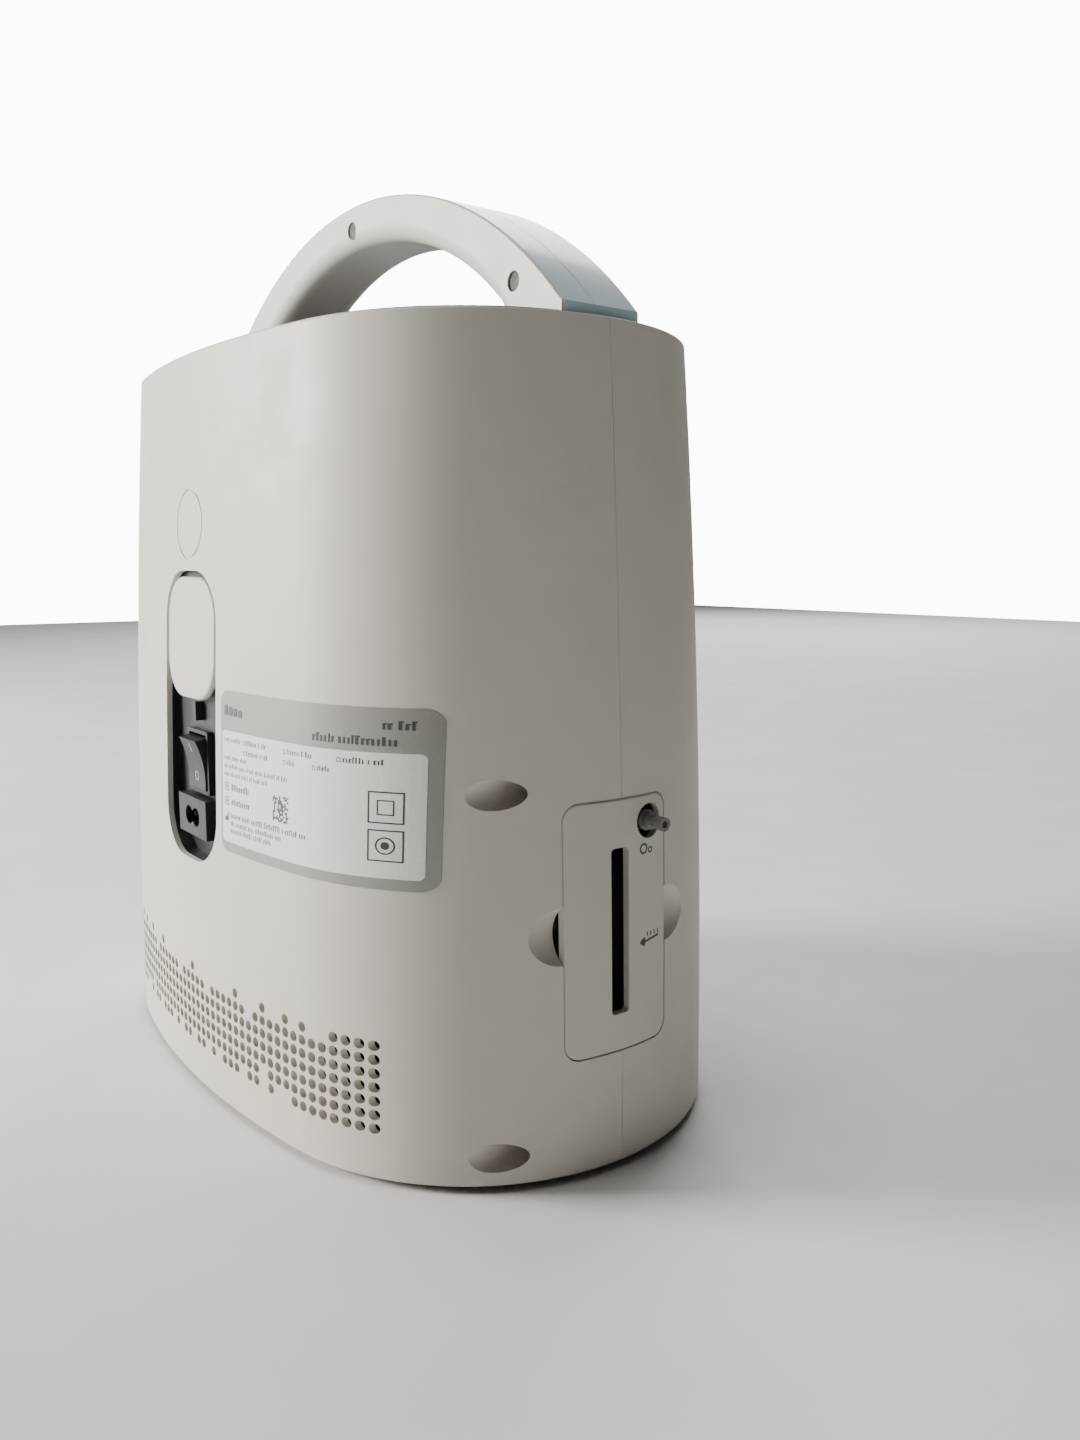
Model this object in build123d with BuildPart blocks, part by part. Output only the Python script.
from build123d import *
import math
import os

# Home oxygen concentrator, in millimetres. +Z is up, -Y is the front, and the humidifier is on
# the -X side. The origin is on the floor, under the middle of the casing.

os.makedirs("parts", exist_ok=True)

# ---------------------------------------------------------------- driving dimensions
HALF_WIDTH = 188.6          # casing, at the floor
HALF_DEPTH = 117.2
LONG_RADIUS = 533.6         # plan arc of the front and of the back
RIM_HEIGHT = 355.0
RIM_INSET = 12.8            # how far the sides have come in at the rim
TAPER_FOOT = -9.7           # height at which the sides stand upright
SHELL_FOOT = 3.0            # gap under the casing
WALL = 2.8
SEAM_GAP = 0.1              # each shell stops this far from the seam plane

RIM_ROUND = 1.1
LEDGE_LOW = 336.0           # ledge inside the rim that carries the frame
FRAME_LOW = 339.0

SLOT_MIDDLE = 184.8         # long slot in the back
SLOT_HEIGHT = 138.5
SLOT_WIDTH = 64.5
SLOT_CORNER = 24.0
MARK_MIDDLE = 275.8
MARK_RADIUS = 16.4
MARK_LINE = 1.0
MARK_DEPTH = 0.6
BUCKET_FLOOR = 106.4        # Y of the slot's floor

PANEL_MIDDLE = (0.7, 107.0)     # humidifier panel, as Y and Z
PANEL_SIZE = (55.0, 108.0)
PANEL_CORNER = 7.0
PANEL_GAP = 0.5
PANEL_THICK = 3.6
OUTLET = (-16.2, 149.6)         # oxygen outlet, as Y and Z
DRAWER_BACK = -118.0            # X of the inner end of the water tank

SCOOP_Z = 107.0
# each finger scoop: Y, half length, how far its axis lies outside the side, depth
SCOOPS = ((28.4, 16.3, 7.3, 7.0), (-27.4, 16.6, 7.3, 7.0))

POCKETS = [(side * x, z) for side in (-1, 1) for x, z in ((170.8, 166.7), (173.5, 15.3))]
POCKET_RADIUS = 6.3
POCKET_FLOOR = 30.0
SCREW_HOLE = 2.3
TUBE_RADIUS = 4.9
SCREW_PILOT = 1.9

VENT_PITCH = 6.0
VENT_LOW = 25.2             # height of the lowest row
VENT_RADIUS = 2.35
# lowest and highest row of each column of air holes, from the edge to the middle
VENT_ROWS = (
    (0, 6), (0, 6), (0, 6), (0, 6), (0, 5), (0, 5), (0, 6), (0, 5), (1, 6), (1, 5), (0, 5), (2, 6),
    (0, 5), (0, 4), (1, 5), (0, 6), (0, 5), (0, 5), (1, 5), (0, 5), (1, 4), (0, 5), (0, 5), (1, 6),
)

BASE_LOW = 3.6
BASE_THICK = 3.0
FEET = [(x, y) for x in (-118.0, 118.0) for y in (-62.0, 62.0)]
FOOT_RADIUS = 11.0

LABEL_MIDDLE = (-99.1, 164.3)
LABEL_SIZE = (121.0, 73.5)
LABEL_CORNER = 6.0
LABEL_THICK = 0.3

COVER_MIDDLE = 222.3            # pull-off cover over the intake filter
COVER_SIZE = (59.5, 57.8)
COVER_CORNER = 20.0
COVER_SINK = 0.3
COVER_THICK = 2.6
FILTER_MIDDLE = 222.0
FILTER_SIZE = (42.0, 38.0)
FILTER_BACK = 74.0
TAB_Z = 187.0

SWITCH_Z = 162.5
SWITCH_BEZEL = (26.0, 31.0)
SWITCH_BODY = (24.4, 28.6)
SWITCH_WELL = (21.6, 27.4)
BEZEL_PROUD = 3.1
ROCKER_WIDTH = 21.0
ROCKER_LENGTH = 24.8
ROCKER_PIN = 1.0
ROCKER_TILT = 10.0
INLET_Z = 136.0
INLET_SIZE = (35.0, 19.0)
INLET_PROUD = 7.1
PIN_SPACING = 8.6
PIN_RADIUS = 1.2

LEVEL_MIDDLE = (1.1, 104.8)     # level window, as Y and Z
LEVEL_SIZE = (9.5, 71.5)
OUTLET_RADIUS = 7.5
TANK_X = -144.5
TANK_Y = 0.0
TANK_SIZE = (53.0, 48.0)
TANK_CORNER = 3.0
TANK_LOW = 58.0
TANK_HIGH = 143.0
TANK_WALL = 1.8
LID_TOP = 158.0
BUBBLER_RADIUS = 3.0
FEED_RADIUS = 4.0
NIPPLE_BASE = 171.0             # along -X
NIPPLE_TIP = 195.0
NIPPLE_LAND = 3.0
NIPPLE_BORE = 1.6
BAY_FRONT = -161.0
BAY_BACK = -110.0

HANDLE_RADIUS = 235.0
HANDLE_CENTRE = 198.0
GRIP_RADIUS = 186.0
GRIP_CENTRE = 228.0
HANDLE_HALF = 20.0              # half the handle's depth along Y
HANDLE_SEAM = 3.0               # Y where the two halves meet
TRIM_THICK = 2.0
TRIM_HALF = 18.8
TRIM_GAP = 0.15
HANDLE_WALL = 3.0
HANDLE_INNER_WALL = 5.0
GRIP_ROUND = 8.0
CROWN_ROUND = 0.7
LEG_BEND = 14.0
HANDLE_SCREWS = [(-138.0, 372.5), (0.0, 422.0), (138.0, 372.5)]
HANDLE_RECESS = 4.2
HANDLE_SEAT = 11.0

LEG_OUTER = 170.2
LEG_INNER = 128.0

FRAME_TOP = 342.0               # structural frame under the control panel
PANEL_TOP = 356.5
PANEL_SKIN = 2.5
BUTTON_X = (-54.0, -18.0, 18.0, 54.0)
BUTTON_Y = -80.0
BUTTON_RADIUS = 7.0
BUTTON_FLANGE = 352.0
BUTTON_PROUD = 0.8
BUTTON_TRAVEL = 1.2
BOARD_LOW = 344.0
SWITCH_TOP = 347.0
BOARD_POSTS = [(x, y) for x in (-62.0, 62.0) for y in (-86.0, -38.0)]
LENS_MIDDLE = (0.0, -47.0)
LENS_SIZE = (112.0, 38.0)
PANEL_ROUND = 3.0

SHAFT_X = 20.0                  # middle of the compressor
SHAFT_Y = -12.0
SHAFT_Z = 78.0
CRANK_OFFSET = 61.0             # from the middle to each crank
THROW = 3.5
CASE_RADIUS = 46.0
ROTOR_RADIUS = 25.0
SHAFT_RADIUS = 5.0
BEARING_RADIUS = 11.0
ECCENTRIC_RADIUS = 9.0
BIG_END_RADIUS = 12.9           # clears the eccentric's whole sweep
BORE_RADIUS = 22.0
CRADLE_LOW = 16.0
CYLINDER_LOW = 126.0
CYLINDER_HIGH = 146.0

FAN_X = -72.0
FAN_Y = 66.0
FAN_Z = 58.0
FAN_SIZE = 80.0
FAN_DEPTH = 25.0
FAN_HUB = 14.0
BLADES = 7

COIL_X = (-10.0, 84.0)
COIL_Y = 62.0
COIL_LOW = 28.0
COIL_PITCH = 22.0

SIEVE_X = 137.0
SIEVE_Y = (-30.0, 30.0)
SIEVE_RADIUS = 24.0
SIEVE_LOW = BASE_LOW + BASE_THICK
SIEVE_HIGH = 222.0
VALVE_TOP = 244.0
PLUNGER_RADIUS = 4.5

PRODUCT_PLACE = (-96.0, -62.0)
PRODUCT_RADIUS = 24.0
SILENCER_Y = 20.0
SILENCER_OUTLET = (-20.0, 36.0)
BACTERIAL_PLACE = (-60.0, 0.0)

# ---------------------------------------------------------------- casing outline
END_RADIUS = (
    2 * HALF_DEPTH * LONG_RADIUS - HALF_WIDTH**2 - HALF_DEPTH**2
) / (2 * (LONG_RADIUS - HALF_WIDTH))
END_CENTRE = HALF_WIDTH - END_RADIUS
LONG_CENTRE = LONG_RADIUS - HALF_DEPTH
JOIN_ANGLE = math.atan2(END_CENTRE, LONG_CENTRE)
TAPER_STEPS = 5


def inset_at(z):
    """How far the side has come in at a height."""
    return RIM_INSET * ((z - TAPER_FOOT) / (RIM_HEIGHT - TAPER_FOOT)) ** 2


def end_x(y, z, inset=0.0):
    """X of the end arc's surface at a depth and height, as a positive number."""
    return END_CENTRE + math.sqrt((END_RADIUS - inset_at(z) - inset) ** 2 - y**2)


def back_y(z, inset=0.0):
    """Y of the back surface at the middle."""
    return HALF_DEPTH - inset_at(z) - inset


def oval(inset, mode=Mode.ADD):
    """Four tangent arcs, brought in evenly, as a face of the sketch in progress."""
    radius = LONG_RADIUS - inset
    join_x = radius * math.sin(JOIN_ANGLE)
    join_y = radius * math.cos(JOIN_ANGLE) - LONG_CENTRE
    end = HALF_WIDTH - inset
    side = HALF_DEPTH - inset
    with BuildLine() as outline:
        ThreePointArc((-join_x, join_y), (0, side), (join_x, join_y))
        ThreePointArc((join_x, join_y), (end, 0), (join_x, -join_y))
        ThreePointArc((join_x, -join_y), (0, -side), (-join_x, -join_y))
        ThreePointArc((-join_x, -join_y), (-end, 0), (-join_x, join_y))
    make_face(outline.edges(), mode=mode)


def tapered_body(inset, low, high):
    """The casing's solid form between two heights, brought in evenly."""
    with BuildPart() as body:
        for step in range(TAPER_STEPS + 1):
            z = low + (high - low) * step / TAPER_STEPS
            with BuildSketch(Plane.XY.offset(z)):
                oval(inset + inset_at(z))
        loft()
    return body.part


def xz_plane(y):
    """A plane at depth y that is drawn in X and Z. A negative extrusion goes to +Y."""
    return Plane((0, y, 0), x_dir=(1, 0, 0), z_dir=(0, -1, 0))


def yz_plane(x):
    """A plane at x that is drawn in Y and Z. A negative extrusion goes to -X."""
    return Plane((x, 0, 0), x_dir=(0, 1, 0), z_dir=(1, 0, 0))


def vent_centres():
    """Centres of the air holes in X and Z, the same on both sides of the middle."""
    last = len(VENT_ROWS) - 1
    centres = []
    for column, (low, high) in enumerate(VENT_ROWS):
        x = VENT_PITCH * (last - column)
        for row in range(low, high + 1):
            for side in (-1, 1) if column < last else (1,):
                centres.append((side * x, VENT_LOW + VENT_PITCH * row))
    return centres


def finish(piece, label):
    """Name a finished piece and write it."""
    piece.part.label = label
    export_step(piece.part, f"parts/{label}.step")
    print(label, round(piece.part.volume))


outer_body = tapered_body(0, SHELL_FOOT, RIM_HEIGHT)
inner_body = tapered_body(WALL, -20, 385)

with BuildPart() as casing:
    add(outer_body)
    add(inner_body, mode=Mode.SUBTRACT)
    rim_edges = casing.edges().filter_by_position(Axis.Z, RIM_HEIGHT - 0.01, RIM_HEIGHT + 0.01)
    fillet(rim_edges, RIM_ROUND)
    foot_edges = casing.edges().filter_by_position(Axis.Z, SHELL_FOOT - 0.01, SHELL_FOOT + 0.01)
    fillet(foot_edges, RIM_ROUND)
    with BuildSketch(Plane.XY.offset(LEDGE_LOW)):
        oval(inset_at(LEDGE_LOW) + WALL - 1)
        oval(inset_at(LEDGE_LOW) + WALL + 5, mode=Mode.SUBTRACT)
    extrude(amount=FRAME_LOW - LEDGE_LOW)

# ---------------------------------------------------------------- finger scoops and screw pockets


def barrel(y, half_length, axis_out, depth, grow=0.0):
    """A barrel lying along the side's tangent, its axis outside the surface."""
    x = -end_x(y, SCOOP_Z)
    normal = Vector(x + END_CENTRE, y, 0).normalized()
    tangent = Vector(-normal.Y, normal.X, 0)
    start = Vector(x, y, SCOOP_Z) + normal * axis_out
    reach = half_length + grow
    thin = axis_out + grow
    thick = axis_out + depth + grow
    with BuildPart() as scoop:
        with BuildSketch(Plane(start, x_dir=tangent, z_dir=(0, 0, 1))):
            with BuildLine() as outline:
                Line((-reach, 0), (reach, 0))
                Line((reach, 0), (reach, thin))
                ThreePointArc((reach, thin), (0, thick), (-reach, thin))
                Line((-reach, thin), (-reach, 0))
            make_face(outline.edges())
        revolve(axis=Axis(start, tangent))
    return scoop.part


scoops = [barrel(*place) for place in SCOOPS]
scoop_walls = [barrel(*place, grow=WALL) for place in SCOOPS]

with BuildPart() as side_opening:
    with BuildSketch(yz_plane(-130)):
        with Locations(PANEL_MIDDLE):
            RectangleRounded(
                PANEL_SIZE[0] + 2 * PANEL_GAP,
                PANEL_SIZE[1] + 2 * PANEL_GAP,
                PANEL_CORNER + PANEL_GAP,
            )
    extrude(amount=-80)

with BuildPart() as screw_tubes:
    with BuildSketch(xz_plane(-40)):
        with Locations(*POCKETS):
            Circle(TUBE_RADIUS)
    extrude(amount=-100)
    with BuildSketch(xz_plane(POCKET_FLOOR - WALL)):
        with Locations(*POCKETS):
            Circle(POCKET_RADIUS + WALL)
    extrude(amount=-60)
    add(tapered_body(WALL / 2, SHELL_FOOT, RIM_HEIGHT), mode=Mode.INTERSECT)

with BuildPart() as stiffening:
    for wall in scoop_walls:
        add(wall)
    add(tapered_body(WALL / 2, SHELL_FOOT, RIM_HEIGHT), mode=Mode.INTERSECT)


def shell_half(side):
    """Half of the casing with its screw tubes and scoops: side is 1 for the back, -1 for the front."""
    with BuildPart() as half:
        add(casing.part)
        add(screw_tubes.part)
        add(stiffening.part)
        with Locations((0, side * (200 + SEAM_GAP), 180)):
            Box(600, 400, 600, mode=Mode.INTERSECT)
        add(side_opening.part, mode=Mode.SUBTRACT)
        for scoop in scoops:
            add(scoop, mode=Mode.SUBTRACT)
    return half.part


# ---------------------------------------------------------------- rear shell
with BuildPart() as round_mark:
    with BuildSketch(xz_plane(60)):
        with Locations((0, MARK_MIDDLE)):
            Circle(MARK_RADIUS)
            Circle(MARK_RADIUS - MARK_LINE, mode=Mode.SUBTRACT)
    extrude(amount=-80)
    add(tapered_body(MARK_DEPTH, 0, 385), mode=Mode.SUBTRACT)

with BuildPart() as rear_shell:
    add(shell_half(1))
    # long slot, and the engraved ring above it
    with BuildSketch(xz_plane(80)):
        with Locations((0, SLOT_MIDDLE)):
            RectangleRounded(SLOT_WIDTH, SLOT_HEIGHT, SLOT_CORNER)
    extrude(amount=-60, mode=Mode.SUBTRACT)
    add(round_mark.part, mode=Mode.SUBTRACT)
    # screw pockets from behind, with a seat for the head and a hole for the shank
    with BuildSketch(xz_plane(POCKET_FLOOR)):
        with Locations(*POCKETS):
            Circle(POCKET_RADIUS)
    extrude(amount=-100, mode=Mode.SUBTRACT)
    with BuildSketch(xz_plane(-5)):
        with Locations(*POCKETS):
            Circle(SCREW_HOLE)
    extrude(amount=-40, mode=Mode.SUBTRACT)
    # air holes
    with BuildSketch(xz_plane(60)):
        with Locations(*vent_centres()):
            Circle(VENT_RADIUS)
    extrude(amount=-60, mode=Mode.SUBTRACT)
finish(rear_shell, "rear_shell")

with BuildPart() as front_shell:
    add(shell_half(-1))
    with BuildSketch(xz_plane(5)):
        with Locations(*POCKETS):
            Circle(SCREW_PILOT)
    extrude(amount=22, mode=Mode.SUBTRACT)
finish(front_shell, "front_shell")

with BuildPart() as shell_screws:
    for x, z in POCKETS:
        with BuildSketch(xz_plane(POCKET_FLOOR)):
            with Locations((x, z)):
                Circle(4.0)
        extrude(amount=-2.6)
        with BuildSketch(xz_plane(POCKET_FLOOR + 2.6)):
            with Locations((x, z)):
                RegularPolygon(1.5, 6)
        extrude(amount=1.6, mode=Mode.SUBTRACT)
        with BuildSketch(xz_plane(POCKET_FLOOR)):
            with Locations((x, z)):
                Circle(SCREW_PILOT)
        extrude(amount=POCKET_FLOOR + 16)
finish(shell_screws, "shell_screws")

# ---------------------------------------------------------------- floor and feet
with BuildPart() as base_plate:
    with BuildSketch(Plane.XY.offset(BASE_LOW)):
        oval(WALL + 0.4)
    extrude(amount=BASE_THICK)
    with BuildSketch(Plane.XY.offset(BASE_LOW + BASE_THICK)):
        oval(WALL + 0.4)
        oval(WALL + 2.8, mode=Mode.SUBTRACT)
    extrude(amount=1.5)
    # room for the lower screw tubes
    for x, z in POCKETS:
        with Locations((x, 0, z)):
            Cylinder(POCKET_RADIUS + WALL + 0.4, 240, rotation=(90, 0, 0), mode=Mode.SUBTRACT)
    # air way out under the compressor
    with BuildSketch(Plane.XY.offset(BASE_LOW)):
        with Locations((SHAFT_X, 66)):
            with GridLocations(11, 0, 9, 1):
                SlotOverall(36, 3.6, rotation=90)
    extrude(amount=BASE_THICK, mode=Mode.SUBTRACT)
finish(base_plate, "base_plate")

with BuildPart() as rubber_feet:
    for x, y in FEET:
        with BuildSketch(Plane.XY.offset(0)):
            with Locations((x, y)):
                Circle(FOOT_RADIUS)
        extrude(amount=BASE_LOW)
finish(rubber_feet, "rubber_feet")

# ---------------------------------------------------------------- rating label on the back
with BuildPart() as rating_label:
    with BuildSketch(xz_plane(60)):
        with Locations(LABEL_MIDDLE):
            RectangleRounded(*LABEL_SIZE, LABEL_CORNER)
    extrude(amount=-80)
    add(tapered_body(-LABEL_THICK, SHELL_FOOT, RIM_HEIGHT), mode=Mode.INTERSECT)
    add(outer_body, mode=Mode.SUBTRACT)
finish(rating_label, "rating_label")

# ---------------------------------------------------------------- slot in the back
with BuildPart() as socket_bucket:
    with BuildSketch(xz_plane(BUCKET_FLOOR - 2)):
        with Locations((0, SLOT_MIDDLE)):
            RectangleRounded(SLOT_WIDTH + 5, SLOT_HEIGHT + 5, SLOT_CORNER + 2.5)
    extrude(amount=-40)
    add(inner_body, mode=Mode.INTERSECT)
    with BuildSketch(xz_plane(BUCKET_FLOOR)):
        with Locations((0, SLOT_MIDDLE)):
            RectangleRounded(SLOT_WIDTH, SLOT_HEIGHT, SLOT_CORNER)
    extrude(amount=-40, mode=Mode.SUBTRACT)
    # filter box behind the cover
    with BuildSketch(xz_plane(FILTER_BACK - 2)):
        with Locations((0, FILTER_MIDDLE)):
            RectangleRounded(FILTER_SIZE[0] + 4, FILTER_SIZE[1] + 4, 4)
    extrude(amount=FILTER_BACK - BUCKET_FLOOR)
    with BuildSketch(xz_plane(FILTER_BACK)):
        with Locations((0, FILTER_MIDDLE)):
            RectangleRounded(*FILTER_SIZE, 3)
    extrude(amount=-40, mode=Mode.SUBTRACT)
    # air spigot at the back of the filter box
    with BuildSketch(xz_plane(FILTER_BACK - 2)):
        with Locations((0, FILTER_MIDDLE)):
            Circle(9)
    extrude(amount=10)
    with BuildSketch(xz_plane(FILTER_BACK)):
        with Locations((0, FILTER_MIDDLE)):
            Circle(7)
    extrude(amount=12, mode=Mode.SUBTRACT)
    # openings for the switch and the mains inlet, and the finger tab under the cover
    with BuildSketch(xz_plane(BUCKET_FLOOR - 2)):
        with Locations((0, SWITCH_Z)):
            Rectangle(SWITCH_BODY[0], SWITCH_BODY[1])
        with Locations((0, INLET_Z)):
            Rectangle(INLET_SIZE[0] - 3, INLET_SIZE[1] - 3)
    extrude(amount=-2, mode=Mode.SUBTRACT)
    with BuildSketch(xz_plane(BUCKET_FLOOR)):
        with Locations((0, TAB_Z)):
            Rectangle(3, 9)
    extrude(amount=-4)
finish(socket_bucket, "socket_bucket")

with BuildPart() as filter_cover:
    with BuildSketch(xz_plane(80)):
        with Locations((0, COVER_MIDDLE)):
            RectangleRounded(*COVER_SIZE, COVER_CORNER)
    extrude(amount=-60)
    add(tapered_body(COVER_SINK, SHELL_FOOT, RIM_HEIGHT), mode=Mode.INTERSECT)
    add(tapered_body(COVER_SINK + COVER_THICK, 0, 385), mode=Mode.SUBTRACT)
    cover_face = filter_cover.faces().sort_by(Axis.Y)[-1]
    fillet(cover_face.edges(), 1.4)
    # two clips that reach into the filter box
    for x in (-FILTER_SIZE[0] / 2 + 1.6, FILTER_SIZE[0] / 2 - 1.6):
        with BuildSketch(xz_plane(BUCKET_FLOOR - 7)):
            with Locations((x, FILTER_MIDDLE)):
                Rectangle(2, 14)
        extrude(amount=-(back_y(FILTER_MIDDLE) - COVER_THICK - BUCKET_FLOOR + 8))
finish(filter_cover, "filter_cover")

with BuildPart() as filter_foam:
    with BuildSketch(xz_plane(FILTER_BACK)):
        with Locations((0, FILTER_MIDDLE)):
            RectangleRounded(FILTER_SIZE[0] - 0.6, FILTER_SIZE[1] - 0.6, 3)
    extrude(amount=-22)
finish(filter_foam, "filter_foam")

# ---------------------------------------------------------------- mains switch and inlet
ROCKER_PIVOT = (0, BUCKET_FLOOR + BEZEL_PROUD - 1.6, SWITCH_Z)

with BuildPart() as switch_body:
    with BuildSketch(xz_plane(BUCKET_FLOOR)):
        with Locations((0, SWITCH_Z)):
            RectangleRounded(*SWITCH_BEZEL, 1.5)
    extrude(amount=-BEZEL_PROUD)
    with BuildSketch(xz_plane(BUCKET_FLOOR)):
        with Locations((0, SWITCH_Z)):
            Rectangle(SWITCH_BODY[0] - 0.2, SWITCH_BODY[1] - 0.2)
    extrude(amount=20)
    with BuildSketch(xz_plane(BUCKET_FLOOR - 9)):
        with Locations((0, SWITCH_Z)):
            Rectangle(*SWITCH_WELL)
    extrude(amount=-(10 + BEZEL_PROUD), mode=Mode.SUBTRACT)
    with Locations(ROCKER_PIVOT):
        Cylinder(ROCKER_PIN + 0.05, SWITCH_WELL[0] + 2.2, rotation=(0, 90, 0), mode=Mode.SUBTRACT)
    # blade terminals
    with BuildSketch(xz_plane(BUCKET_FLOOR - 20)):
        with Locations((0, SWITCH_Z)):
            with GridLocations(10, 9, 2, 2):
                Rectangle(0.8, 6.3)
    extrude(amount=8)
finish(switch_body, "switch_body")

with BuildPart() as power_rocker:
    with BuildSketch(yz_plane(ROCKER_WIDTH / 2)):
        with BuildLine() as outline:
            low_z = SWITCH_Z - ROCKER_LENGTH / 2
            high_z = SWITCH_Z + ROCKER_LENGTH / 2
            front = ROCKER_PIVOT[1]
            Line((front - 5, SWITCH_Z - 6), (front - 1.5, low_z))
            Line((front - 1.5, low_z), (front + 4.8, low_z))
            ThreePointArc((front + 4.8, low_z), (front + 3.2, SWITCH_Z), (front + 4.8, high_z))
            Line((front + 4.8, high_z), (front - 1.5, high_z))
            Line((front - 1.5, high_z), (front - 5, SWITCH_Z + 6))
            Line((front - 5, SWITCH_Z + 6), (front - 5, SWITCH_Z - 6))
        make_face(outline.edges())
    extrude(amount=-ROCKER_WIDTH)
    with Locations(ROCKER_PIVOT):
        Cylinder(ROCKER_PIN, SWITCH_WELL[0] + 1.6, rotation=(0, 90, 0))
power_rocker.part = power_rocker.part.rotate(Axis(ROCKER_PIVOT, (1, 0, 0)), -ROCKER_TILT)
finish(power_rocker, "power_rocker")

with BuildPart() as inlet_socket:
    with BuildSketch(xz_plane(BUCKET_FLOOR)):
        with Locations((0, INLET_Z)):
            Rectangle(*INLET_SIZE)
    extrude(amount=-INLET_PROUD)
    with BuildSketch(xz_plane(BUCKET_FLOOR)):
        with Locations((0, INLET_Z)):
            Rectangle(INLET_SIZE[0] - 3.4, INLET_SIZE[1] - 3.4)
    extrude(amount=14)
    with BuildSketch(xz_plane(BUCKET_FLOOR - 8)):
        with Locations((0, INLET_Z)):
            with GridLocations(PIN_SPACING, 0, 2, 1):
                Circle(4.6)
            Rectangle(PIN_SPACING, 5.6)
    extrude(amount=-(INLET_PROUD + 10), mode=Mode.SUBTRACT)
    with BuildSketch(xz_plane(BUCKET_FLOOR - 8)):
        with Locations((0, INLET_Z)):
            with GridLocations(PIN_SPACING, 0, 2, 1):
                Circle(PIN_RADIUS)
    extrude(amount=10, mode=Mode.SUBTRACT)
finish(inlet_socket, "inlet_socket")

with BuildPart() as inlet_pins:
    with BuildSketch(xz_plane(BUCKET_FLOOR - 18)):
        with Locations((0, INLET_Z)):
            with GridLocations(PIN_SPACING, 0, 2, 1):
                Circle(PIN_RADIUS)
    extrude(amount=-(18 + INLET_PROUD - 3))
finish(inlet_pins, "inlet_pins")

# ---------------------------------------------------------------- humidifier drawer
with BuildPart() as humidifier_panel:
    with BuildSketch(yz_plane(-130)):
        with Locations(PANEL_MIDDLE):
            RectangleRounded(*PANEL_SIZE, PANEL_CORNER)
    extrude(amount=-80)
    add(outer_body, mode=Mode.INTERSECT)
    add(tapered_body(PANEL_THICK, 0, 385), mode=Mode.SUBTRACT)
    panel_face = humidifier_panel.faces().sort_by(Axis.X)[0]
    fillet(panel_face.edges(), 0.8)
    # level window and the hole round the outlet
    with BuildSketch(yz_plane(-170)):
        with Locations(LEVEL_MIDDLE):
            RectangleRounded(*LEVEL_SIZE, 2)
        with Locations(OUTLET):
            Circle(OUTLET_RADIUS)
    extrude(amount=-40, mode=Mode.SUBTRACT)
finish(humidifier_panel, "humidifier_panel")

with BuildPart() as water_tank:
    with BuildSketch(Plane.XY.offset(TANK_LOW)):
        with Locations((TANK_X, TANK_Y)):
            RectangleRounded(*TANK_SIZE, TANK_CORNER)
    extrude(amount=TANK_HIGH - TANK_LOW)
    with BuildSketch(Plane.XY.offset(TANK_LOW + TANK_WALL)):
        with Locations((TANK_X, TANK_Y)):
            inner = [side - 2 * TANK_WALL for side in TANK_SIZE]
            RectangleRounded(*inner, TANK_CORNER - TANK_WALL)
    extrude(amount=TANK_HIGH, mode=Mode.SUBTRACT)
    fillet(water_tank.edges().group_by(Axis.Z)[0], 2)
    # rib that stands behind the level window
    with BuildSketch(yz_plane(TANK_X - TANK_SIZE[0] / 2 + 0.5)):
        with Locations((LEVEL_MIDDLE[0], (TANK_LOW + TANK_HIGH) / 2)):
            Rectangle(4, TANK_HIGH - TANK_LOW - 20)
    extrude(amount=-1.5)
finish(water_tank, "water_tank")

with BuildPart() as panel_bracket:
    with BuildSketch(Plane.XY.offset(LID_TOP - 3)):
        with Locations((TANK_X - TANK_SIZE[0] / 2 - 10, TANK_Y + 11)):
            Rectangle(20, 18)
    extrude(amount=3)
    add(tapered_body(PANEL_THICK, 0, 385), mode=Mode.INTERSECT)

with BuildPart() as tank_lid:
    with BuildSketch(Plane.XY.offset(TANK_HIGH)):
        with Locations((TANK_X, TANK_Y)):
            RectangleRounded(*TANK_SIZE, TANK_CORNER)
    extrude(amount=LID_TOP - TANK_HIGH)
    # gas channel from the feed side, and the outlet channel
    with Locations((TANK_X + 12, TANK_Y, (TANK_HIGH + LID_TOP) / 2)):
        Cylinder(2, TANK_SIZE[0] + 1, rotation=(0, 90, 0), mode=Mode.SUBTRACT)
    with Locations((TANK_X - TANK_SIZE[0] / 2, OUTLET[0], OUTLET[1])):
        Cylinder(NIPPLE_BORE, 20, rotation=(0, 90, 0), mode=Mode.SUBTRACT)
    with BuildSketch(Plane.XY.offset(TANK_HIGH)):
        with Locations((TANK_X, TANK_Y)):
            Circle(BUBBLER_RADIUS)
        with Locations((TANK_X - TANK_SIZE[0] / 2 + 8, OUTLET[0])):
            Circle(NIPPLE_BORE)
    extrude(amount=(LID_TOP - TANK_HIGH) / 2, mode=Mode.SUBTRACT)
    # feed stub at the back
    with BuildSketch(yz_plane(DRAWER_BACK)):
        with Locations((TANK_Y, (TANK_HIGH + LID_TOP) / 2)):
            Circle(FEED_RADIUS)
            Circle(2, mode=Mode.SUBTRACT)
    extrude(amount=9)
    add(panel_bracket.part)
finish(tank_lid, "tank_lid")

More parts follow.
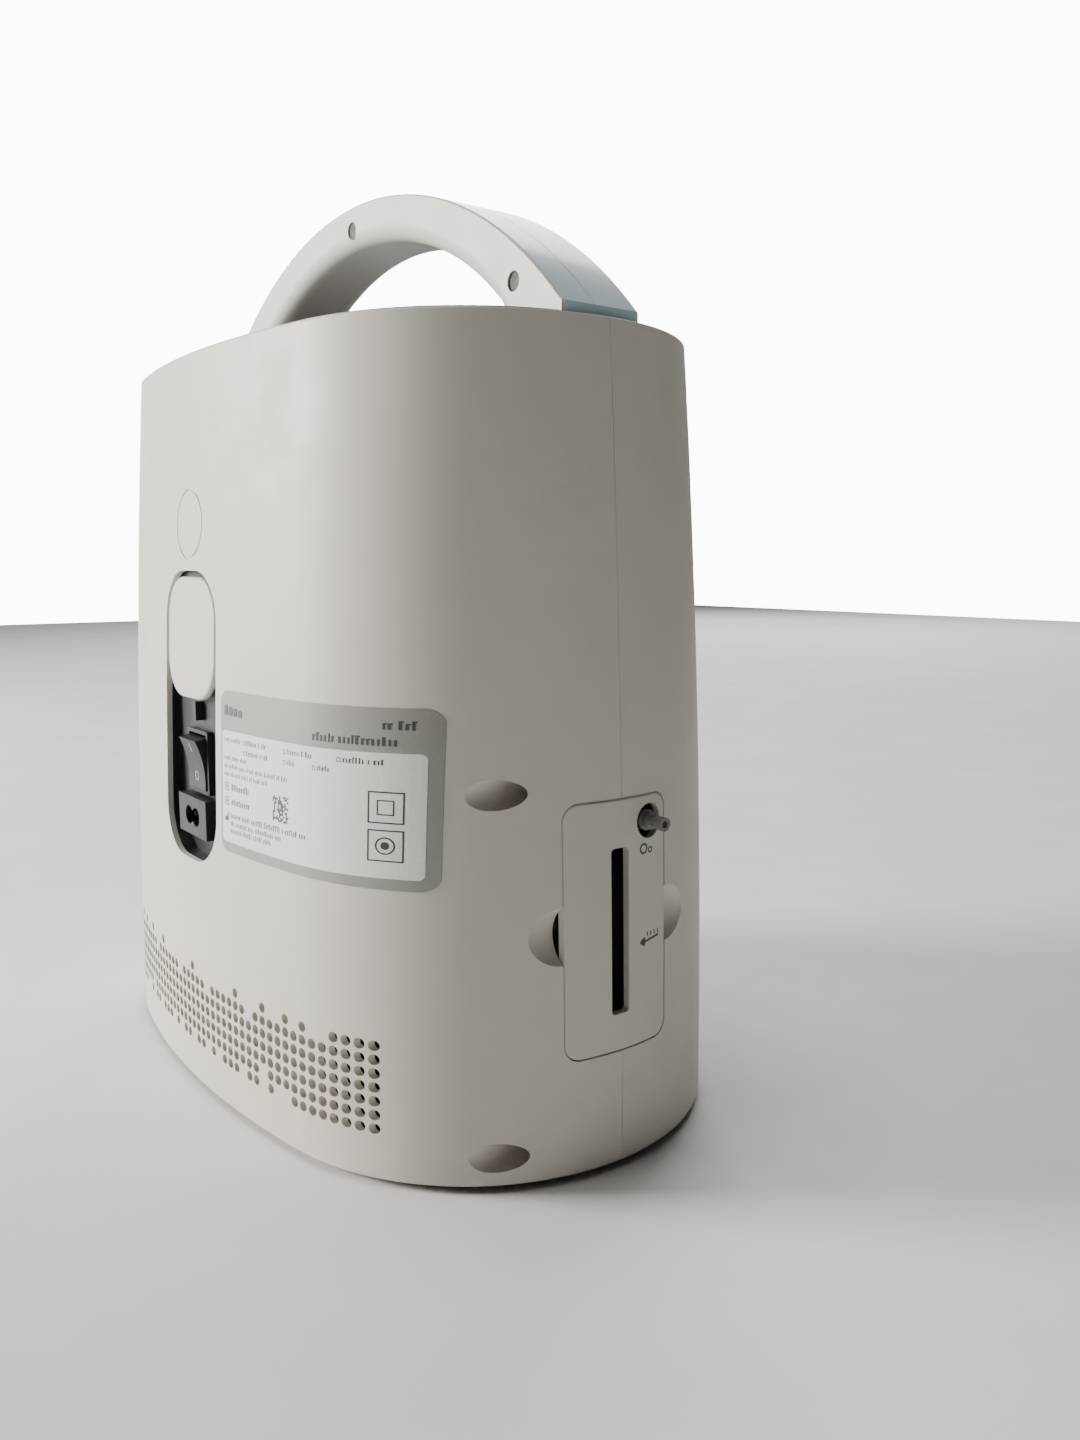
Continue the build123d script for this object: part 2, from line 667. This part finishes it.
with BuildPart() as bubbler_tube:
    with BuildSketch(Plane.XY.offset(TANK_LOW + 14)):
        with Locations((TANK_X, TANK_Y)):
            Circle(BUBBLER_RADIUS)
            Circle(BUBBLER_RADIUS - 1, mode=Mode.SUBTRACT)
    extrude(amount=TANK_HIGH + 4 - TANK_LOW - 14)
    with BuildSketch(Plane.XY.offset(TANK_LOW + 5)):
        with Locations((TANK_X, TANK_Y)):
            Circle(6)
    extrude(amount=9)
finish(bubbler_tube, "bubbler_tube")

with BuildPart() as outlet_nipple:
    nipple_plane = Plane((0, OUTLET[0], OUTLET[1]), x_dir=(-1, 0, 0), z_dir=(0, 1, 0))
    with BuildSketch(nipple_plane):
        with BuildLine() as outline:
            Polyline(
                (NIPPLE_BASE, NIPPLE_BORE),
                (NIPPLE_BASE, 5.2),
                (NIPPLE_BASE + 3.0, 5.2),
                (NIPPLE_BASE + 3.0, 4.5),
                (NIPPLE_TIP - 11.0, 4.5),
                (NIPPLE_TIP - 11.0, 3.6),
                (NIPPLE_TIP - 8.0, 3.6),
                (NIPPLE_TIP - 8.0, 2.4),
                (NIPPLE_TIP - 4.0, 2.4),
                (NIPPLE_TIP - 3.2, NIPPLE_LAND),
                (NIPPLE_TIP, NIPPLE_LAND),
                (NIPPLE_TIP, NIPPLE_BORE),
                close=True,
            )
        make_face(outline.edges())
    revolve(axis=Axis((0, OUTLET[0], OUTLET[1]), (1, 0, 0)))
finish(outlet_nipple, "outlet_nipple")

with BuildPart() as humidifier_bay:
    with BuildSketch(yz_plane(BAY_FRONT)):
        with Locations(PANEL_MIDDLE):
            Rectangle(PANEL_SIZE[0] + 2 * PANEL_GAP + 4, PANEL_SIZE[1] + 2 * PANEL_GAP + 4)
    extrude(amount=BAY_BACK - BAY_FRONT)
    with BuildSketch(yz_plane(BAY_FRONT)):
        with Locations(PANEL_MIDDLE):
            Rectangle(PANEL_SIZE[0] + 2 * PANEL_GAP, PANEL_SIZE[1] + 2 * PANEL_GAP)
    extrude(amount=BAY_BACK - BAY_FRONT - 2, mode=Mode.SUBTRACT)
    with BuildSketch(yz_plane(BAY_BACK)):
        with Locations((TANK_Y, (TANK_HIGH + LID_TOP) / 2)):
            Circle(FEED_RADIUS + 2.5)
    extrude(amount=-4, mode=Mode.SUBTRACT)
    # runners under the tank
    for y in (TANK_Y - 12, TANK_Y + 12):
        with BuildSketch(yz_plane(BAY_FRONT)):
            with Locations((y, (PANEL_MIDDLE[1] - PANEL_SIZE[1] / 2 - PANEL_GAP + TANK_LOW) / 2)):
                Rectangle(3, TANK_LOW - PANEL_MIDDLE[1] + PANEL_SIZE[1] / 2 + PANEL_GAP - 0.6)
        extrude(amount=BAY_BACK - BAY_FRONT - 2)
finish(humidifier_bay, "humidifier_bay")

with BuildPart() as feed_seal:
    with BuildSketch(yz_plane(BAY_BACK - 2)):
        with Locations((TANK_Y, (TANK_HIGH + LID_TOP) / 2)):
            Circle(FEED_RADIUS + 2.5)
            Circle(FEED_RADIUS + 0.1, mode=Mode.SUBTRACT)
    extrude(amount=5)
finish(feed_seal, "feed_seal")

# ---------------------------------------------------------------- frame, control panel, buttons
LEG_SLOT = (LEG_INNER - 1.4, HANDLE_HALF + 0.5)

with BuildPart() as top_frame:
    with BuildSketch(Plane.XY.offset(FRAME_LOW)):
        oval(inset_at(FRAME_LOW) + WALL + 0.4)
        with Locations((-150, 0), (150, 0)):
            Rectangle(8, 20, mode=Mode.SUBTRACT)
    extrude(amount=FRAME_TOP - FRAME_LOW)
    with BuildSketch(Plane.XY.offset(FRAME_TOP)):
        with Locations(*BOARD_POSTS):
            Circle(3)
    extrude(amount=BOARD_LOW - FRAME_TOP)
finish(top_frame, "top_frame")

with BuildPart() as control_panel:
    with BuildSketch(Plane.XY.offset(FRAME_TOP)):
        oval(inset_at(RIM_HEIGHT) + WALL + 0.5)
    extrude(amount=PANEL_TOP - FRAME_TOP)
    fillet(control_panel.edges().group_by(Axis.Z)[-1], PANEL_ROUND)
    with BuildSketch(Plane.XY.offset(FRAME_TOP)):
        oval(inset_at(RIM_HEIGHT) + WALL + 3.0)
    extrude(amount=PANEL_TOP - PANEL_SKIN - FRAME_TOP - 2, mode=Mode.SUBTRACT)
    with BuildSketch(Plane.XY.offset(PANEL_TOP - PANEL_SKIN - 2)):
        oval(inset_at(RIM_HEIGHT) + WALL + 6.0)
    extrude(amount=2, mode=Mode.SUBTRACT)
    # notches for the handle's legs, with walls round them
    with BuildSketch(Plane.XY.offset(FRAME_TOP)):
        for side in (-1, 1):
            with Locations((side * 150, 0)):
                Rectangle(2 * (150 - LEG_SLOT[0]) + 4, 2 * LEG_SLOT[1] + 4)
    extrude(amount=PANEL_TOP - FRAME_TOP - 1)
    with BuildSketch(Plane.XY.offset(FRAME_TOP)):
        oval(inset_at(RIM_HEIGHT) + WALL + 0.5)
    extrude(amount=PANEL_TOP - FRAME_TOP, mode=Mode.INTERSECT)
    with BuildSketch(Plane.XY.offset(FRAME_TOP)):
        for side in (-1, 1):
            with Locations((side * (LEG_SLOT[0] + 40), 0)):
                Rectangle(80, 2 * LEG_SLOT[1])
    extrude(amount=PANEL_TOP, mode=Mode.SUBTRACT)
    # window and button holes
    with BuildSketch(Plane.XY.offset(FRAME_TOP)):
        with Locations(LENS_MIDDLE):
            RectangleRounded(*LENS_SIZE, 4)
        with Locations(*[(x, BUTTON_Y) for x in BUTTON_X]):
            Circle(BUTTON_RADIUS + 0.3)
    extrude(amount=PANEL_TOP, mode=Mode.SUBTRACT)
finish(control_panel, "control_panel")

with BuildPart() as display_lens:
    with BuildSketch(Plane.XY.offset(PANEL_TOP - PANEL_SKIN)):
        with Locations(LENS_MIDDLE):
            RectangleRounded(LENS_SIZE[0] - 0.2, LENS_SIZE[1] - 0.2, 3.9)
    extrude(amount=PANEL_SKIN - 0.1)
finish(display_lens, "display_lens")

with BuildPart() as display_module:
    with BuildSketch(Plane.XY.offset(BOARD_LOW + 1.6)):
        with Locations(LENS_MIDDLE):
            Rectangle(LENS_SIZE[0] - 6, LENS_SIZE[1] - 4)
    extrude(amount=6)
    with BuildSketch(Plane.XY.offset(BOARD_LOW + 7.6)):
        with Locations(LENS_MIDDLE):
            Rectangle(LENS_SIZE[0] - 10, LENS_SIZE[1] - 8)
    extrude(amount=0.6)
finish(display_module, "display_module")

with BuildPart() as control_board:
    with BuildSketch(Plane.XY.offset(BOARD_LOW)):
        with Locations((0, -62)):
            Rectangle(136, 60)
    extrude(amount=1.6)
    with BuildSketch(Plane.XY.offset(BOARD_LOW + 1.6)):
        with Locations(*[(x, BUTTON_Y) for x in BUTTON_X]):
            Rectangle(6, 6)
    extrude(amount=SWITCH_TOP - BOARD_LOW - 1.6)
finish(control_board, "control_board")


def push_button(x, label):
    """A sprung push button: cap, flange under the panel, and a stem down to its switch."""
    with BuildPart() as button:
        with BuildSketch(Plane.XY.offset(SWITCH_TOP + BUTTON_TRAVEL + 0.2)):
            with Locations((x, BUTTON_Y)):
                Circle(2)
        extrude(amount=BUTTON_FLANGE - SWITCH_TOP - BUTTON_TRAVEL - 0.2)
        with BuildSketch(Plane.XY.offset(BUTTON_FLANGE)):
            with Locations((x, BUTTON_Y)):
                Circle(BUTTON_RADIUS + 1.5)
        extrude(amount=PANEL_TOP - PANEL_SKIN - 0.2 - BUTTON_FLANGE)
        with BuildSketch(Plane.XY.offset(PANEL_TOP - PANEL_SKIN - 0.2)):
            with Locations((x, BUTTON_Y)):
                Circle(BUTTON_RADIUS)
        extrude(amount=PANEL_SKIN + 0.2 + BUTTON_PROUD)
        fillet(button.edges().group_by(Axis.Z)[-1], 0.7)
    finish(button, label)


for place, label in zip(BUTTON_X, ("button_power", "button_timer", "button_less", "button_more")):
    push_button(place, label)

# ---------------------------------------------------------------- handle


def arch(outer, inner, legs, low, mode=Mode.ADD):
    """The handle's outline in X and Z: its outer arc, inner arc and legs brought in."""
    outer_radius = HANDLE_RADIUS - outer
    inner_radius = GRIP_RADIUS + inner
    outer_x = LEG_OUTER - legs
    inner_x = LEG_INNER + inner
    outer_z = HANDLE_CENTRE + math.sqrt(outer_radius**2 - outer_x**2)
    inner_z = GRIP_CENTRE + math.sqrt(inner_radius**2 - inner_x**2)
    with BuildLine() as outline:
        ThreePointArc((-outer_x, outer_z), (0, HANDLE_CENTRE + outer_radius), (outer_x, outer_z))
        Line((outer_x, outer_z), (outer_x, low))
        Line((outer_x, low), (inner_x, low))
        Line((inner_x, low), (inner_x, inner_z))
        ThreePointArc((inner_x, inner_z), (0, GRIP_CENTRE + inner_radius), (-inner_x, inner_z))
        Line((-inner_x, inner_z), (-inner_x, low))
        Line((-inner_x, low), (-outer_x, low))
        Line((-outer_x, low), (-outer_x, outer_z))
    make_face(outline.edges(), mode=mode)


def on_grip_side(edge):
    """Is this one of the long edges of the handle's underside?"""
    middle = edge.center()
    at_side = abs(abs(middle.Y) - HANDLE_HALF) < 0.01
    return at_side and abs(middle.X) < LEG_INNER + 0.5 and middle.Z < HANDLE_CENTRE + GRIP_CENTRE


def on_crown_side(edge):
    """Is this one of the two edges of the handle's outer arc?"""
    middle = edge.center()
    return abs(abs(middle.Y) - HANDLE_HALF) < 0.01 and middle.Z > HANDLE_CENTRE + GRIP_CENTRE


with BuildPart() as handle_form:
    with BuildSketch(xz_plane(-HANDLE_HALF)) as handle_sketch:
        arch(0, 0, 0, FRAME_TOP)
        inner_corners = handle_sketch.vertices().filter_by(
            lambda vertex: abs(abs(vertex.X) - LEG_INNER) < 0.1
        )
        fillet(inner_corners.group_by(Axis.Y)[-1], LEG_BEND)
    extrude(amount=-2 * HANDLE_HALF)
    fillet(handle_form.edges().filter_by(on_grip_side), GRIP_ROUND)
    fillet(handle_form.edges().filter_by(on_crown_side), CROWN_ROUND)
    # shallow channel for the trim
    with BuildSketch(xz_plane(-TRIM_HALF)):
        arch(-1, -20, -1, FRAME_TOP - 5)
        arch(TRIM_THICK, -21, TRIM_THICK, FRAME_TOP - 6, mode=Mode.SUBTRACT)
    extrude(amount=-2 * TRIM_HALF, mode=Mode.SUBTRACT)


def handle_half(side):
    """One half of the handle, hollow from the seam: side is 1 for the rear half."""
    far = side * HANDLE_HALF
    with BuildPart() as half:
        add(handle_form.part)
        with Locations((0, HANDLE_SEAM + side * 50, 390)):
            Box(500, 100, 200, mode=Mode.INTERSECT)
        with BuildSketch(xz_plane(HANDLE_SEAM)):
            arch(TRIM_THICK + HANDLE_WALL, HANDLE_INNER_WALL, TRIM_THICK + HANDLE_WALL, FRAME_TOP + 3)
        extrude(amount=-(far - side * HANDLE_WALL - HANDLE_SEAM), mode=Mode.SUBTRACT)
        with BuildSketch(xz_plane(HANDLE_SEAM)):
            with Locations(*HANDLE_SCREWS):
                Circle(5.2)
        extrude(amount=-(far - side * 2 - HANDLE_SEAM))
        add(handle_form.part, mode=Mode.INTERSECT)
    return half.part


with BuildPart() as handle_rear:
    add(handle_half(1))
    with BuildSketch(xz_plane(HANDLE_SEAT)):
        with Locations(*HANDLE_SCREWS):
            Circle(HANDLE_RECESS)
    extrude(amount=-20, mode=Mode.SUBTRACT)
    with BuildSketch(xz_plane(0)):
        with Locations(*HANDLE_SCREWS):
            Circle(2.1)
    extrude(amount=-20, mode=Mode.SUBTRACT)
finish(handle_rear, "handle_rear")

with BuildPart() as handle_front:
    add(handle_half(-1))
    with BuildSketch(xz_plane(HANDLE_SEAM + 1)):
        with Locations(*HANDLE_SCREWS):
            Circle(1.8)
    extrude(amount=15, mode=Mode.SUBTRACT)
finish(handle_front, "handle_front")

with BuildPart() as handle_screws:
    with BuildSketch(xz_plane(HANDLE_SEAT)):
        with Locations(*HANDLE_SCREWS):
            Circle(3.6)
    extrude(amount=-2.4)
    with BuildSketch(xz_plane(HANDLE_SEAT)):
        with Locations(*HANDLE_SCREWS):
            Circle(1.8)
    extrude(amount=HANDLE_SEAT + 10)
finish(handle_screws, "handle_screws")

with BuildPart() as handle_plugs:
    with BuildSketch(xz_plane(HANDLE_SEAT + 4)):
        with Locations(*HANDLE_SCREWS):
            Circle(HANDLE_RECESS - 0.05)
    extrude(amount=-(HANDLE_HALF - 0.9 - HANDLE_SEAT - 4))
finish(handle_plugs, "handle_plugs")


def trim(low_y, high_y):
    """A strip of the handle's outer skin between two depths."""
    with BuildPart() as strip:
        with BuildSketch(xz_plane(low_y)):
            arch(0, 10, 0, FRAME_TOP + 2)
            arch(TRIM_THICK, 5, TRIM_THICK, FRAME_TOP - 5, mode=Mode.SUBTRACT)
        extrude(amount=low_y - high_y)
    return strip.part


with BuildPart() as handle_trim_rear:
    add(trim(HANDLE_SEAM + TRIM_GAP, TRIM_HALF))
finish(handle_trim_rear, "handle_trim_rear")

with BuildPart() as handle_trim_front:
    add(trim(-TRIM_HALF, HANDLE_SEAM - TRIM_GAP))
finish(handle_trim_front, "handle_trim_front")

# ---------------------------------------------------------------- compressor
CRANK_X = (SHAFT_X - CRANK_OFFSET, SHAFT_X + CRANK_OFFSET)


def x_cylinder(radius, low_x, high_x, y, z, mode=Mode.ADD):
    """A cylinder along X, as part of the piece in progress."""
    with Locations(((low_x + high_x) / 2, y, z)):
        Cylinder(radius, high_x - low_x, rotation=(0, 90, 0), mode=mode)


def z_cylinder(radius, x, y, low_z, high_z, mode=Mode.ADD):
    """A cylinder along Z, as part of the piece in progress."""
    with Locations((x, y, (low_z + high_z) / 2)):
        Cylinder(radius, high_z - low_z, mode=mode)


with BuildPart() as compressor_cradle:
    with BuildSketch(Plane.XY.offset(CRADLE_LOW)):
        with Locations((SHAFT_X, SHAFT_Y)):
            RectangleRounded(168, 104, 8)
    extrude(amount=3)
    for x in CRANK_X:
        with Locations((x, SHAFT_Y, CRADLE_LOW + 3 + 9)):
            Box(20, 70, 18)
    x_cylinder(CASE_RADIUS, SHAFT_X - 90, SHAFT_X + 90, SHAFT_Y, SHAFT_Z, mode=Mode.SUBTRACT)
finish(compressor_cradle, "compressor_cradle")

with BuildPart() as compressor_mounts:
    for x in (SHAFT_X - 72, SHAFT_X + 72):
        for y in (SHAFT_Y - 42, SHAFT_Y + 42):
            z_cylinder(8, x, y, BASE_LOW + BASE_THICK, CRADLE_LOW)
finish(compressor_mounts, "compressor_mounts")

with BuildPart() as motor_stator:
    x_cylinder(CASE_RADIUS - 3, SHAFT_X - 30, SHAFT_X + 30, SHAFT_Y, SHAFT_Z)
    x_cylinder(ROTOR_RADIUS + 0.4, SHAFT_X - 30, SHAFT_X + 30, SHAFT_Y, SHAFT_Z, mode=Mode.SUBTRACT)
finish(motor_stator, "motor_stator")

with BuildPart() as motor_rotor:
    x_cylinder(ROTOR_RADIUS, SHAFT_X - 28, SHAFT_X + 28, SHAFT_Y, SHAFT_Z)
    x_cylinder(SHAFT_RADIUS, SHAFT_X - 28, SHAFT_X + 28, SHAFT_Y, SHAFT_Z, mode=Mode.SUBTRACT)
finish(motor_rotor, "motor_rotor")

with BuildPart() as crankshaft:
    x_cylinder(SHAFT_RADIUS, CRANK_X[0] - 10, CRANK_X[1] + 10, SHAFT_Y, SHAFT_Z)
    for side, x in zip((-1, 1), CRANK_X):
        x_cylinder(ECCENTRIC_RADIUS, x - 4, x + 4, SHAFT_Y, SHAFT_Z + side * THROW)
        # counterweight beside the eccentric
        with BuildSketch(yz_plane(x + side * 4)):
            with BuildLine() as outline:
                CenterArc((SHAFT_Y, SHAFT_Z), 20, 90 + side * 90, 180)
                Line((SHAFT_Y - 20, SHAFT_Z), (SHAFT_Y + 20, SHAFT_Z))
            make_face(outline.edges())
        extrude(amount=side * 5)
finish(crankshaft, "crankshaft")

with BuildPart() as crankcases:
    for side, x in zip((-1, 1), CRANK_X):
        inner_x = SHAFT_X + side * 30
        outer_x = x + side * 14
        low_x, high_x = min(inner_x, outer_x), max(inner_x, outer_x)
        x_cylinder(CASE_RADIUS, low_x, high_x, SHAFT_Y, SHAFT_Z)
        with Locations((x, SHAFT_Y, SHAFT_Z + 40)):
            Box(28, 40, 16)
        cavity_low = low_x + (3 if side < 0 else 10)
        cavity_high = high_x - (10 if side < 0 else 3)
        x_cylinder(CASE_RADIUS - 4, cavity_low, cavity_high, SHAFT_Y, SHAFT_Z, mode=Mode.SUBTRACT)
        z_cylinder(BORE_RADIUS - 6, x, SHAFT_Y, SHAFT_Z + 30, SHAFT_Z + 50, mode=Mode.SUBTRACT)
    x_cylinder(BEARING_RADIUS, CRANK_X[0], CRANK_X[1], SHAFT_Y, SHAFT_Z, mode=Mode.SUBTRACT)
finish(crankcases, "crankcases")

with BuildPart() as shaft_bearings:
    for side in (-1, 1):
        near, far = SHAFT_X + side * 31, SHAFT_X + side * 39
        x_cylinder(BEARING_RADIUS, min(near, far), max(near, far), SHAFT_Y, SHAFT_Z)
    x_cylinder(SHAFT_RADIUS + 0.05, CRANK_X[0], CRANK_X[1], SHAFT_Y, SHAFT_Z, mode=Mode.SUBTRACT)
finish(shaft_bearings, "shaft_bearings")

with BuildPart() as cylinders:
    for x in CRANK_X:
        z_cylinder(BORE_RADIUS + 3, x, SHAFT_Y, CYLINDER_LOW, CYLINDER_HIGH)
        for fin in range(3):
            fin_z = CYLINDER_LOW + 4 + 6 * fin
            z_cylinder(BORE_RADIUS + 6, x, SHAFT_Y, fin_z, fin_z + 2)
        z_cylinder(BORE_RADIUS, x, SHAFT_Y, CYLINDER_LOW, CYLINDER_HIGH, mode=Mode.SUBTRACT)
finish(cylinders, "cylinders")

with BuildPart() as cylinder_heads:
    for x in CRANK_X:
        with BuildSketch(Plane.XY.offset(CYLINDER_HIGH)):
            with Locations((x, SHAFT_Y)):
                RectangleRounded(48, 48, 8)
        extrude(amount=12)
        z_cylinder(4, x, SHAFT_Y - 14, CYLINDER_HIGH + 12, CYLINDER_HIGH + 22)
        z_cylinder(4, x, SHAFT_Y + 14, CYLINDER_HIGH + 12, CYLINDER_HIGH + 22)
finish(cylinder_heads, "cylinder_heads")

with BuildPart() as pistons:
    for x in CRANK_X:
        z_cylinder(BORE_RADIUS - 0.2, x, SHAFT_Y, CYLINDER_LOW + 6, CYLINDER_LOW + 12)
        with Locations((x, SHAFT_Y, (SHAFT_Z + CYLINDER_LOW + 8) / 2)):
            Box(6, 9, CYLINDER_LOW + 8 - SHAFT_Z)
        x_cylinder(BIG_END_RADIUS + 4, x - 3.5, x + 3.5, SHAFT_Y, SHAFT_Z)
        x_cylinder(BIG_END_RADIUS, x - 3.5, x + 3.5, SHAFT_Y, SHAFT_Z, mode=Mode.SUBTRACT)
finish(pistons, "pistons")

# ---------------------------------------------------------------- fan and cooling coil
with BuildPart() as fan_frame:
    with BuildSketch(xz_plane(FAN_Y)):
        with Locations((FAN_X, FAN_Z)):
            RectangleRounded(FAN_SIZE, FAN_SIZE, 4)
            Circle(FAN_SIZE / 2 - 2, mode=Mode.SUBTRACT)
            with GridLocations(FAN_SIZE - 9, FAN_SIZE - 9, 2, 2):
                Circle(2.2, mode=Mode.SUBTRACT)
    extrude(amount=-FAN_DEPTH)
    with BuildSketch(xz_plane(FAN_Y)):
        with Locations((FAN_X, FAN_Z)):
            Circle(17)
            for turn in (45, 135):
                Rectangle(FAN_SIZE - 2, 4, rotation=turn)
    extrude(amount=-3)
    with BuildSketch(xz_plane(FAN_Y + 3)):
        with Locations((FAN_X, FAN_Z)):
            Circle(1.5)
    extrude(amount=-14)
    # foot rail that stands on the floor of the casing
    with Locations((FAN_X, FAN_Y + FAN_DEPTH / 2, (BASE_LOW + BASE_THICK + FAN_Z - FAN_SIZE / 2) / 2)):
        Box(60, 12, FAN_Z - FAN_SIZE / 2 - BASE_LOW - BASE_THICK)
finish(fan_frame, "fan_frame")

with BuildPart() as fan_rotor:
    with BuildSketch(xz_plane(FAN_Y + 4)):
        with Locations((FAN_X, FAN_Z)):
            Circle(FAN_HUB)
            Circle(1.55, mode=Mode.SUBTRACT)
    extrude(amount=-(FAN_DEPTH - 6))
    for blade in range(BLADES):
        turn = 360 * blade / BLADES
        reach = (FAN_HUB + FAN_SIZE / 2 - 4.5) / 2
        centre = (
            FAN_X + reach * math.cos(math.radians(turn)),
            FAN_Y + FAN_DEPTH / 2 + 1,
            FAN_Z + reach * math.sin(math.radians(turn)),
        )
        place = Plane(
            centre,
            x_dir=(math.cos(math.radians(turn)), 0, math.sin(math.radians(turn))),
            z_dir=(0, 1, 0),
        )
        with Locations(place):
            Box(FAN_SIZE / 2 - 3.5 - FAN_HUB, 1.8, 15, rotation=(40, 0, 0))
finish(fan_rotor, "fan_rotor")

with BuildPart() as cooling_coil:
    rows = [COIL_LOW + COIL_PITCH * row for row in range(4)]
    with BuildLine() as path:
        for row, z in enumerate(rows):
            start, end = (COIL_X[0], COIL_X[1]) if row % 2 == 0 else (COIL_X[1], COIL_X[0])
            Line((start, COIL_Y, z), (end, COIL_Y, z))
            if row < len(rows) - 1:
                bulge = COIL_PITCH / 2 if row % 2 == 0 else -COIL_PITCH / 2
                middle = (end + bulge, COIL_Y, z + COIL_PITCH / 2)
                ThreePointArc((end, COIL_Y, z), middle, (end, COIL_Y, z + COIL_PITCH))
    with BuildSketch(yz_plane(COIL_X[0])):
        with Locations((COIL_Y, COIL_LOW)):
            Circle(4)
            Circle(3, mode=Mode.SUBTRACT)
    sweep(path=path.wires()[0])
finish(cooling_coil, "cooling_coil")

# ---------------------------------------------------------------- sieve beds, valves, tank
with BuildPart() as sieve_canisters:
    for y in SIEVE_Y:
        z_cylinder(SIEVE_RADIUS - 1, SIEVE_X, y, SIEVE_LOW + 4, SIEVE_HIGH - 4)
finish(sieve_canisters, "sieve_canisters")

with BuildPart() as sieve_caps:
    for y in SIEVE_Y:
        for low in (SIEVE_LOW, SIEVE_HIGH - 10):
            z_cylinder(SIEVE_RADIUS, SIEVE_X, y, low, low + 10)
        z_cylinder(SIEVE_RADIUS - 1, SIEVE_X, y, SIEVE_LOW + 4, SIEVE_HIGH - 4, mode=Mode.SUBTRACT)
        z_cylinder(2.5, SIEVE_X, y, SIEVE_HIGH - 5, SIEVE_HIGH, mode=Mode.SUBTRACT)
finish(sieve_caps, "sieve_caps")

with BuildPart() as valve_block:
    with BuildSketch(Plane.XY.offset(SIEVE_HIGH)):
        with Locations((SIEVE_X, 0)):
            RectangleRounded(50, 104, 6)
    extrude(amount=VALVE_TOP - SIEVE_HIGH)
    for y in SIEVE_Y:
        z_cylinder(2.5, SIEVE_X, y, SIEVE_HIGH, VALVE_TOP, mode=Mode.SUBTRACT)
    with Locations((SIEVE_X, 0, (SIEVE_HIGH + VALVE_TOP) / 2)):
        Cylinder(2.5, 110, rotation=(90, 0, 0), mode=Mode.SUBTRACT)
finish(valve_block, "valve_block")

with BuildPart() as solenoid_coils:
    for y in SIEVE_Y:
        z_cylinder(14, SIEVE_X, y, VALVE_TOP, VALVE_TOP + 34)
        z_cylinder(PLUNGER_RADIUS + 0.3, SIEVE_X, y, VALVE_TOP, VALVE_TOP + 28, mode=Mode.SUBTRACT)
finish(solenoid_coils, "solenoid_coils")


def plunger(y, label):
    """The iron plunger that lifts off one valve seat."""
    with BuildPart() as iron:
        z_cylinder(PLUNGER_RADIUS, SIEVE_X, y, VALVE_TOP + 0.1, VALVE_TOP + 22)
    finish(iron, label)


plunger(SIEVE_Y[0], "valve_plunger_front")
plunger(SIEVE_Y[1], "valve_plunger_rear")

with BuildPart() as product_tank:
    z_cylinder(PRODUCT_RADIUS, *PRODUCT_PLACE, BASE_LOW + BASE_THICK, 168)
    fillet(product_tank.edges().group_by(Axis.Z)[-1], 10)
    z_cylinder(4, *PRODUCT_PLACE, 168, 176)
    z_cylinder(2.5, *PRODUCT_PLACE, 140, 176, mode=Mode.SUBTRACT)
finish(product_tank, "product_tank")

# ---------------------------------------------------------------- air and oxygen path
with BuildPart() as intake_silencer:
    with BuildSketch(xz_plane(SILENCER_Y)):
        with Locations((0, FILTER_MIDDLE)):
            RectangleRounded(70, 46, 10)
    extrude(amount=-(FILTER_BACK - 12 - SILENCER_Y))
    with BuildSketch(xz_plane(FILTER_BACK - 12)):
        with Locations((0, FILTER_MIDDLE)):
            Circle(6.8)
    extrude(amount=-8)
    x_place = SILENCER_OUTLET
    z_cylinder(4, x_place[0], x_place[1], FILTER_MIDDLE - 31, FILTER_MIDDLE - 21)
finish(intake_silencer, "intake_silencer")

with BuildPart() as bacterial_filter:
    z_cylinder(16, *BACTERIAL_PLACE, 188, 200)
    z_cylinder(4, *BACTERIAL_PLACE, 176, 212)
finish(bacterial_filter, "bacterial_filter")

with BuildPart() as power_board:
    with BuildSketch(xz_plane(-88)):
        with Locations((0, 235)):
            Rectangle(124, 90)
    extrude(amount=-1.6)
    with BuildSketch(xz_plane(-86.4)):
        with Locations((-34, 250)):
            Rectangle(36, 32)
        with Locations((26, 255), (44, 255)):
            Circle(8)
        with Locations((30, 215)):
            Rectangle(52, 14)
        with Locations((-30, 212)):
            Circle(12)
            Circle(5, mode=Mode.SUBTRACT)
    extrude(amount=-22)
    # mounting posts back to the front shell
    with BuildSketch(xz_plane(-88)):
        with Locations((0, 235)):
            with GridLocations(104, 76, 2, 2):
                Circle(3)
    extrude(amount=6)
finish(power_board, "power_board")
